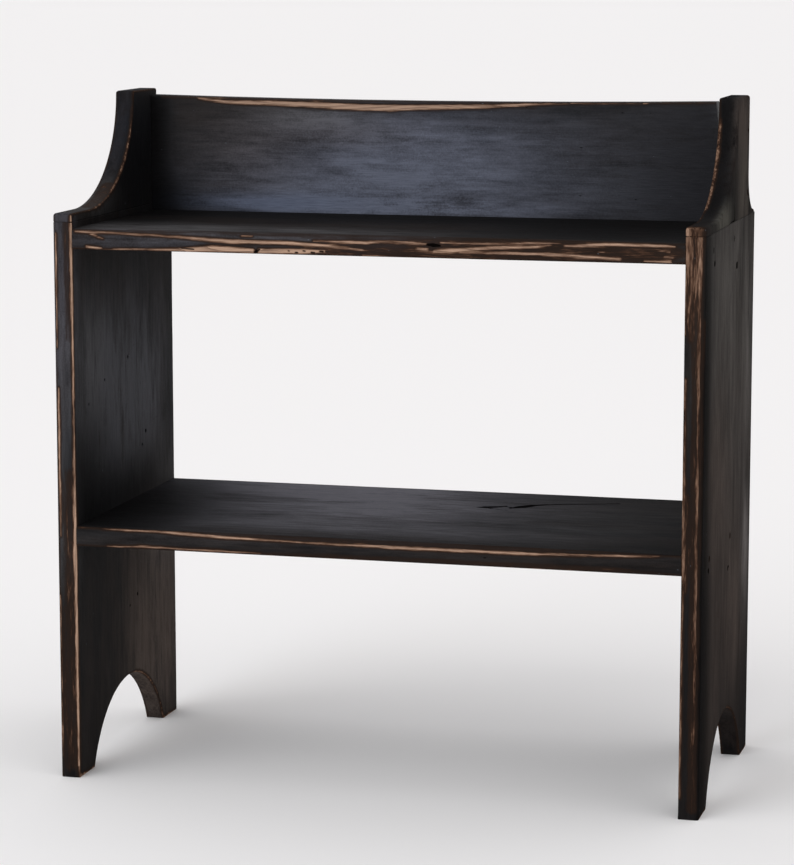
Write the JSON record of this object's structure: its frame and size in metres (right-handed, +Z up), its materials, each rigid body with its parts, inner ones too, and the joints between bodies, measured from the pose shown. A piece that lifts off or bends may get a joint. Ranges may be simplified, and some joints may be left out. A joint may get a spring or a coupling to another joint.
{
  "type": "bucket bench",
  "caption": "Low wooden stand with two open shelves, arched board ends and a low back between curved wings, for buckets, crocks or plants.",
  "frame": {"origin": "on the floor, at the middle of the bench's width and depth", "axes": "+X to the right seen from the front, +Y to the rear, +Z up"},
  "size_m": [0.61, 0.286, 0.64],
  "materials": {
    "painted_side": "black milk paint, satin, rubbed through to tan pine along the edges",
    "painted_wing": "black milk paint, satin, rubbed through to tan pine along the edges",
    "painted_shelf": "black milk paint, satin, with streaks of bare pine along the front edge",
    "painted_back": "black milk paint, satin, bare pine under the top edge",
    "bare_dowel": "bare birch",
    "iron_nail": "dark iron, painted over"
  },
  "bodies": {
    "root": {"left_side": "painted_side", "right_side": "painted_side", "left_wing": "painted_wing", "right_wing": "painted_wing", "upper_shelf": "painted_shelf", "lower_shelf": "painted_shelf", "backboard": "painted_back", "left_wing_dowels": "bare_dowel", "right_wing_dowels": "bare_dowel", "upper_shelf_nails": "iron_nail", "lower_shelf_nails": "iron_nail", "backboard_end_nails": "iron_nail", "backboard_base_nails": "iron_nail"}
  },
  "joints": []
}
